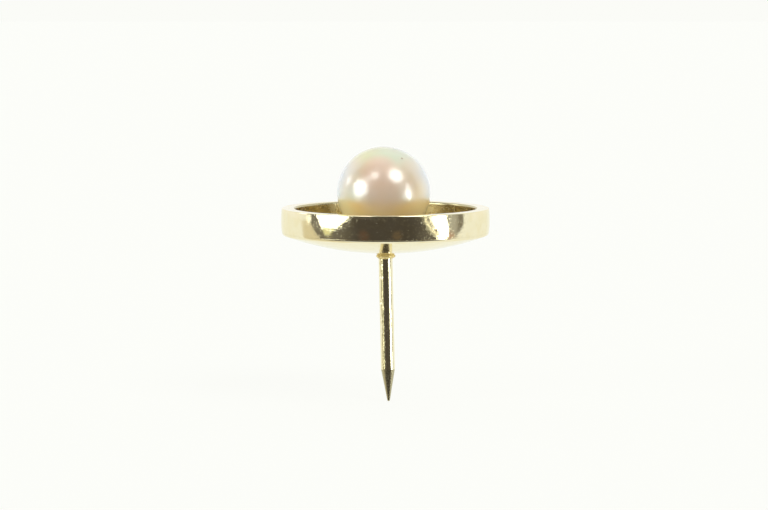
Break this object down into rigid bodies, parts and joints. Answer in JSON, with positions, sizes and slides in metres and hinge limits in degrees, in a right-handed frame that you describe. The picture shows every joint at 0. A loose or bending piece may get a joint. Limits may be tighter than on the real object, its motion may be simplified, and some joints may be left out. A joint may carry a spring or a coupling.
{
  "type": "tie tack",
  "caption": "Round pearl on a cup and peg inside a shallow polished gold dish, with a plain pointed post under its domed back.",
  "frame": {"origin": "lowest point of the domed back, on the dish's axis, where the post is soldered on", "axes": "+Z along the dish's axis, from the post towards the pearl; the post leans 1.25 degrees towards +X on its way down"},
  "size_m": [0.0144, 0.0144, 0.0178],
  "materials": {
    "polished_gold": "yellow gold, mirror polish with fine wiping scratches",
    "wire_gold": "yellow gold wire, polished, with small nicks and drawing marks",
    "gold_solder": "gold solder, softly rippled",
    "nacre": "cream pearl nacre with a soft pink and green orient",
    "cement": "clear hard cement"
  },
  "bodies": {
    "root": {"rim_band": "polished_gold", "domed_back": "polished_gold", "rim_solder": "gold_solder", "pearl_cup": "wire_gold", "cup_solder": "gold_solder", "pearl_peg": "wire_gold", "pearl_cement": "cement", "pearl": "nacre", "post": "wire_gold", "post_solder": "gold_solder"}
  },
  "joints": []
}
